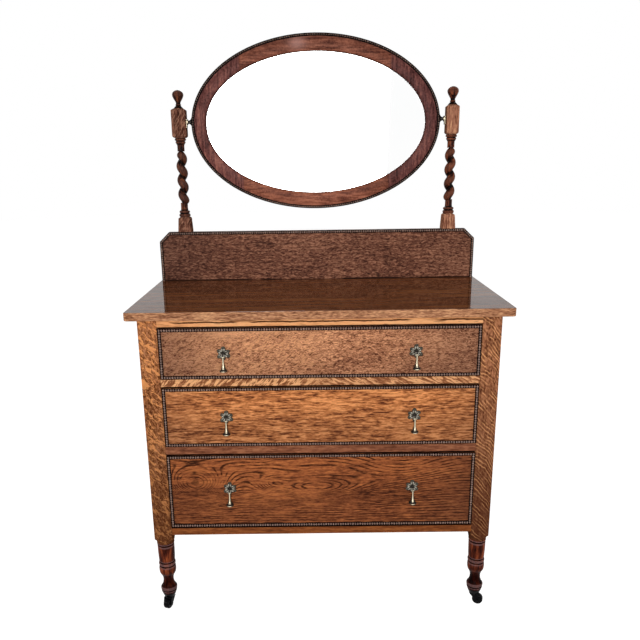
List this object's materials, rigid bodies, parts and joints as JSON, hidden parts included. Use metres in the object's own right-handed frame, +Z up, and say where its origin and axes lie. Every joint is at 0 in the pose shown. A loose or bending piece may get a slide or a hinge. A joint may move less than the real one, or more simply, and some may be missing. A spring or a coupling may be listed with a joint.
{
  "type": "dresser with mirror",
  "caption": "Oak dressing chest with long drawers on drop pulls, turned feet on castors, and an oval mirror that tilts between twist-turned standards.",
  "frame": {"origin": "on the floor, under the middle of the piece's bounding box", "axes": "+Z up, the drawers face -Y, +X is to the right of someone who faces the drawers"},
  "size_m": [0.914, 0.4722, 1.4764],
  "materials": {
    "oak_top": "satin, dark",
    "oak_case": "satin, flecked",
    "oak_light": "satin, light",
    "oak_front": "satin, straight figure",
    "oak_front_red": "satin, reddish figure",
    "oak_dark": "satin, dark reddish",
    "bead": "satin, near black",
    "plain_wood": "unfinished",
    "silvered_glass": "polished",
    "brass": "aged, worn bright on edges",
    "castor_black": "gloss"
  },
  "bodies": {
    "chest": {"top": "oak_top", "rail_top": "oak_light", "rail_upper": "oak_light", "rail_lower": "oak_case", "rail_bottom": "oak_case", "back_panel": "plain_wood", "backboard": "oak_dark", "backboard_moulding": "bead", "post_front_left": "oak_case", "post_rear_left": "oak_case", "side_panel_left": "oak_case", "mirror_post_left": "oak_dark", "pivot_bracket_left": "brass", "post_front_right": "oak_case", "post_rear_right": "oak_case", "side_panel_right": "oak_case", "mirror_post_right": "oak_dark", "pivot_bracket_right": "brass"},
    "drawer_upper": {"drawer_upper_front": "oak_front", "drawer_upper_side_left": "plain_wood", "drawer_upper_side_right": "plain_wood", "drawer_upper_back": "plain_wood", "drawer_upper_bottom": "plain_wood", "drawer_upper_moulding": "bead", "rosette_upper_left": "brass", "rosette_upper_right": "brass"},
    "drawer_middle": {"drawer_middle_front": "oak_front", "drawer_middle_side_left": "plain_wood", "drawer_middle_side_right": "plain_wood", "drawer_middle_back": "plain_wood", "drawer_middle_bottom": "plain_wood", "drawer_middle_moulding": "bead", "rosette_middle_left": "brass", "rosette_middle_right": "brass"},
    "drawer_lower": {"drawer_lower_front": "oak_front_red", "drawer_lower_side_left": "plain_wood", "drawer_lower_side_right": "plain_wood", "drawer_lower_back": "plain_wood", "drawer_lower_bottom": "plain_wood", "drawer_lower_moulding": "bead", "rosette_lower_left": "brass", "rosette_lower_right": "brass"},
    "drop_upper_left": {"drop_upper_left": "brass"},
    "drop_upper_right": {"drop_upper_right": "brass"},
    "drop_middle_left": {"drop_middle_left": "brass"},
    "drop_middle_right": {"drop_middle_right": "brass"},
    "drop_lower_left": {"drop_lower_left": "brass"},
    "drop_lower_right": {"drop_lower_right": "brass"},
    "mirror": {"mirror_frame": "oak_dark", "mirror_moulding": "bead", "mirror_glass": "silvered_glass", "mirror_backing": "plain_wood"},
    "castor_front_left": {"castor_fork_front_left": "castor_black"},
    "wheel_front_left": {"castor_wheel_front_left": "castor_black"},
    "castor_front_right": {"castor_fork_front_right": "castor_black"},
    "wheel_front_right": {"castor_wheel_front_right": "castor_black"},
    "castor_rear_left": {"castor_fork_rear_left": "castor_black"},
    "wheel_rear_left": {"castor_wheel_rear_left": "castor_black"},
    "castor_rear_right": {"castor_fork_rear_right": "castor_black"},
    "wheel_rear_right": {"castor_wheel_rear_right": "castor_black"}
  },
  "joints": [
    {"name": "drawer_upper_slide", "type": "slide", "parent": "chest", "child": "drawer_upper", "axis": [0, -1, 0], "range_m": [0, 0.3]},
    {"name": "drawer_middle_slide", "type": "slide", "parent": "chest", "child": "drawer_middle", "axis": [0, -1, 0], "range_m": [0, 0.3]},
    {"name": "drawer_lower_slide", "type": "slide", "parent": "chest", "child": "drawer_lower", "axis": [0, -1, 0], "range_m": [0, 0.3]},
    {"name": "drop_upper_left_swing", "type": "hinge", "parent": "drawer_upper", "child": "drop_upper_left", "pos_m": [-0.23, -0.2264, 0.70965], "axis": [-1, 0, 0], "range_deg": [0, 85]},
    {"name": "drop_upper_right_swing", "type": "hinge", "parent": "drawer_upper", "child": "drop_upper_right", "pos_m": [0.23, -0.2264, 0.70965], "axis": [-1, 0, 0], "range_deg": [0, 85]},
    {"name": "drop_middle_left_swing", "type": "hinge", "parent": "drawer_middle", "child": "drop_middle_left", "pos_m": [-0.23, -0.2264, 0.54765], "axis": [-1, 0, 0], "range_deg": [0, 85]},
    {"name": "drop_middle_right_swing", "type": "hinge", "parent": "drawer_middle", "child": "drop_middle_right", "pos_m": [0.23, -0.2264, 0.54765], "axis": [-1, 0, 0], "range_deg": [0, 85]},
    {"name": "drop_lower_left_swing", "type": "hinge", "parent": "drawer_lower", "child": "drop_lower_left", "pos_m": [-0.23, -0.2264, 0.35595], "axis": [-1, 0, 0], "range_deg": [0, 85]},
    {"name": "drop_lower_right_swing", "type": "hinge", "parent": "drawer_lower", "child": "drop_lower_right", "pos_m": [0.23, -0.2264, 0.35595], "axis": [-1, 0, 0], "range_deg": [0, 85]},
    {"name": "mirror_tilt", "type": "hinge", "parent": "chest", "child": "mirror", "pos_m": [0, 0.2171, 1.2547], "axis": [1, 0, 0], "range_deg": [-90, 90]},
    {"name": "castor_front_left_swivel", "type": "hinge", "parent": "chest", "child": "castor_front_left", "pos_m": [-0.408, -0.1909, 0.03], "axis": [0, 0, 1], "continuous": true},
    {"name": "wheel_front_left_roll", "type": "hinge", "parent": "castor_front_left", "child": "wheel_front_left", "pos_m": [-0.41142, -0.2003, 0.014], "axis": [0.9397, -0.342, 0], "continuous": true},
    {"name": "castor_front_right_swivel", "type": "hinge", "parent": "chest", "child": "castor_front_right", "pos_m": [0.408, -0.1909, 0.03], "axis": [0, 0, 1], "continuous": true},
    {"name": "wheel_front_right_roll", "type": "hinge", "parent": "castor_front_right", "child": "wheel_front_right", "pos_m": [0.4174, -0.19432, 0.014], "axis": [0.342, 0.9397, 0], "continuous": true},
    {"name": "castor_rear_left_swivel", "type": "hinge", "parent": "chest", "child": "castor_rear_left", "pos_m": [-0.408, 0.1981, 0.03], "axis": [0, 0, 1], "continuous": true},
    {"name": "wheel_rear_left_roll", "type": "hinge", "parent": "castor_rear_left", "child": "wheel_rear_left", "pos_m": [-0.40541, 0.20776, 0.014], "axis": [-0.9659, 0.2588, 0], "continuous": true},
    {"name": "castor_rear_right_swivel", "type": "hinge", "parent": "chest", "child": "castor_rear_right", "pos_m": [0.408, 0.1981, 0.03], "axis": [0, 0, 1], "continuous": true},
    {"name": "wheel_rear_right_roll", "type": "hinge", "parent": "castor_rear_right", "child": "wheel_rear_right", "pos_m": [0.40458, 0.2075, 0.014], "axis": [-0.9397, -0.342, 0], "continuous": true}
  ]
}
